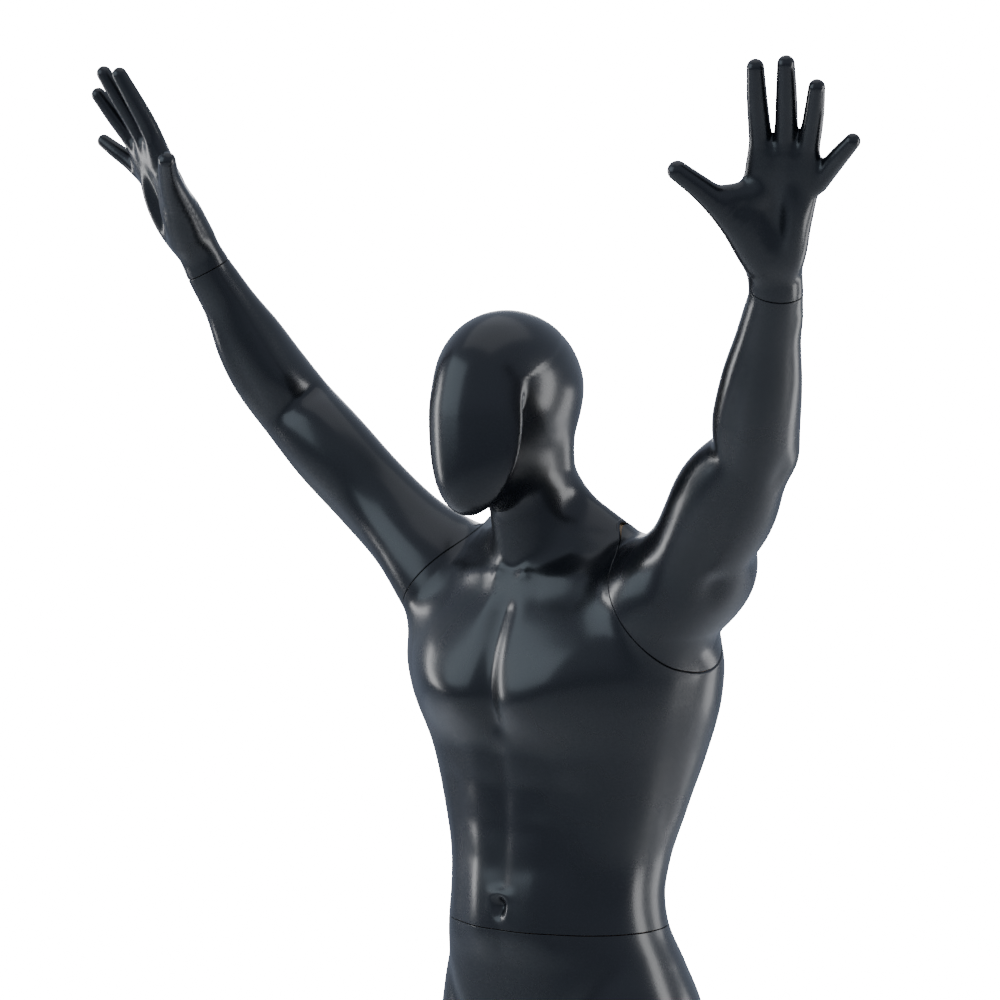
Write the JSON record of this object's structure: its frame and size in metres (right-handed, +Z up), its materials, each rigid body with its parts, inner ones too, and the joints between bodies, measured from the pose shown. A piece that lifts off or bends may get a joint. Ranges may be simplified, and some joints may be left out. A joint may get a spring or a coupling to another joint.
{
  "type": "display mannequin",
  "caption": "Full-size faceless athletic male display figure with raised open hands, jointed shells on a round steel base with a calf rod.",
  "frame": {"origin": "centre of the base's underside, on the floor", "axes": "+Z up, the figure faces -Y, its left side is +X"},
  "size_m": [1.1344, 0.5388, 2.1466],
  "materials": {
    "gloss_black_shell": "glossy lacquer with a fine orange peel",
    "plywood": "sanded birch plywood, cut edges",
    "die_cast_alloy": "die cast, lightly machined on the faces",
    "white_nylon": "moulded, satin",
    "zinc_plated_steel": "bright zinc plating",
    "brushed_steel_plate": "brushed, circular grain",
    "chromed_rod": "polished",
    "black_rubber": "matte sheet"
  },
  "bodies": {
    "base": {"base_pad": "black_rubber", "base_plate": "brushed_steel_plate", "rod_hub": "die_cast_alloy", "hub_screws": "zinc_plated_steel", "support_rod": "chromed_rod"},
    "hips_and_legs": {"pelvis_and_left_leg_shell": "gloss_black_shell", "calf_tube": "die_cast_alloy", "pelvis_waist_board": "plywood", "waist_socket": "die_cast_alloy", "waist_socket_screws": "zinc_plated_steel", "waist_circlip": "zinc_plated_steel", "pelvis_thigh_board": "plywood", "thigh_socket": "die_cast_alloy", "thigh_socket_screws": "zinc_plated_steel", "right_leg_shell": "gloss_black_shell", "right_thigh_board": "plywood", "thigh_plug": "die_cast_alloy", "thigh_plug_screws": "zinc_plated_steel"},
    "waist_turntable": {"waist_swivel": "white_nylon"},
    "torso": {"torso_and_head_shell": "gloss_black_shell", "torso_waist_board": "plywood", "waist_plug": "die_cast_alloy", "waist_plug_screws": "zinc_plated_steel", "left_shoulder_board": "plywood", "left_shoulder_socket": "die_cast_alloy", "left_shoulder_circlip": "zinc_plated_steel", "right_shoulder_board": "plywood", "right_shoulder_socket": "die_cast_alloy", "right_shoulder_circlip": "zinc_plated_steel", "shoulder_socket_screws": "zinc_plated_steel"},
    "left_shoulder_turntable": {"left_shoulder_swivel": "white_nylon"},
    "left_arm": {"left_arm_shell": "gloss_black_shell", "left_arm_board": "plywood", "left_arm_plug": "die_cast_alloy", "left_arm_screws": "zinc_plated_steel", "left_wrist_board": "plywood", "left_wrist_socket": "die_cast_alloy", "left_wrist_circlip": "zinc_plated_steel"},
    "left_wrist_turntable": {"left_wrist_swivel": "white_nylon"},
    "left_hand": {"left_hand": "gloss_black_shell", "left_hand_plug": "die_cast_alloy"},
    "right_shoulder_turntable": {"right_shoulder_swivel": "white_nylon"},
    "right_arm": {"right_arm_shell": "gloss_black_shell", "right_arm_board": "plywood", "right_arm_plug": "die_cast_alloy", "right_arm_screws": "zinc_plated_steel", "right_wrist_board": "plywood", "right_wrist_socket": "die_cast_alloy", "right_wrist_circlip": "zinc_plated_steel"},
    "right_wrist_turntable": {"right_wrist_swivel": "white_nylon"},
    "right_hand": {"right_hand": "gloss_black_shell", "right_hand_plug": "die_cast_alloy"}
  },
  "joints": [
    {"name": "lift_off_base", "type": "slide", "parent": "base", "child": "hips_and_legs", "axis": [0, -0.1564, 0.9877], "range_m": [0, 0.1]},
    {"name": "waist_turn", "type": "hinge", "parent": "hips_and_legs", "child": "waist_turntable", "pos_m": [0, 0, 1.125], "axis": [0, 0, 1], "range_deg": [-30, 30]},
    {"name": "torso_lift", "type": "slide", "parent": "waist_turntable", "child": "torso", "axis": [0, 0, 1], "range_m": [0, 0.08]},
    {"name": "left_shoulder_turn", "type": "hinge", "parent": "torso", "child": "left_shoulder_turntable", "pos_m": [0.16, -0.006, 1.512], "axis": [0.8397, -0.06, 0.5398], "range_deg": [-15, 15]},
    {"name": "left_arm_pull", "type": "slide", "parent": "left_shoulder_turntable", "child": "left_arm", "axis": [0.8397, -0.06, 0.5398], "range_m": [0, 0.06]},
    {"name": "left_wrist_turn", "type": "hinge", "parent": "left_arm", "child": "left_wrist_turntable", "pos_m": [0.454, -0.178, 1.871], "axis": [0.362, -0.3218, 0.8749], "range_deg": [-45, 45]},
    {"name": "left_hand_pull", "type": "slide", "parent": "left_wrist_turntable", "child": "left_hand", "axis": [0.362, -0.3218, 0.8749], "range_m": [0, 0.04]},
    {"name": "right_shoulder_turn", "type": "hinge", "parent": "torso", "child": "right_shoulder_turntable", "pos_m": [-0.158, -0.01, 1.538], "axis": [-0.7389, -0.0799, 0.669], "range_deg": [-15, 15]},
    {"name": "right_arm_pull", "type": "slide", "parent": "right_shoulder_turntable", "child": "right_arm", "axis": [-0.7389, -0.0799, 0.669], "range_m": [0, 0.06]},
    {"name": "right_wrist_turn", "type": "hinge", "parent": "right_arm", "child": "right_wrist_turntable", "pos_m": [-0.415, -0.173, 1.904], "axis": [-0.2599, -0.4198, 0.8696], "range_deg": [-45, 45]},
    {"name": "right_hand_pull", "type": "slide", "parent": "right_wrist_turntable", "child": "right_hand", "axis": [-0.2599, -0.4198, 0.8696], "range_m": [0, 0.04]}
  ]
}
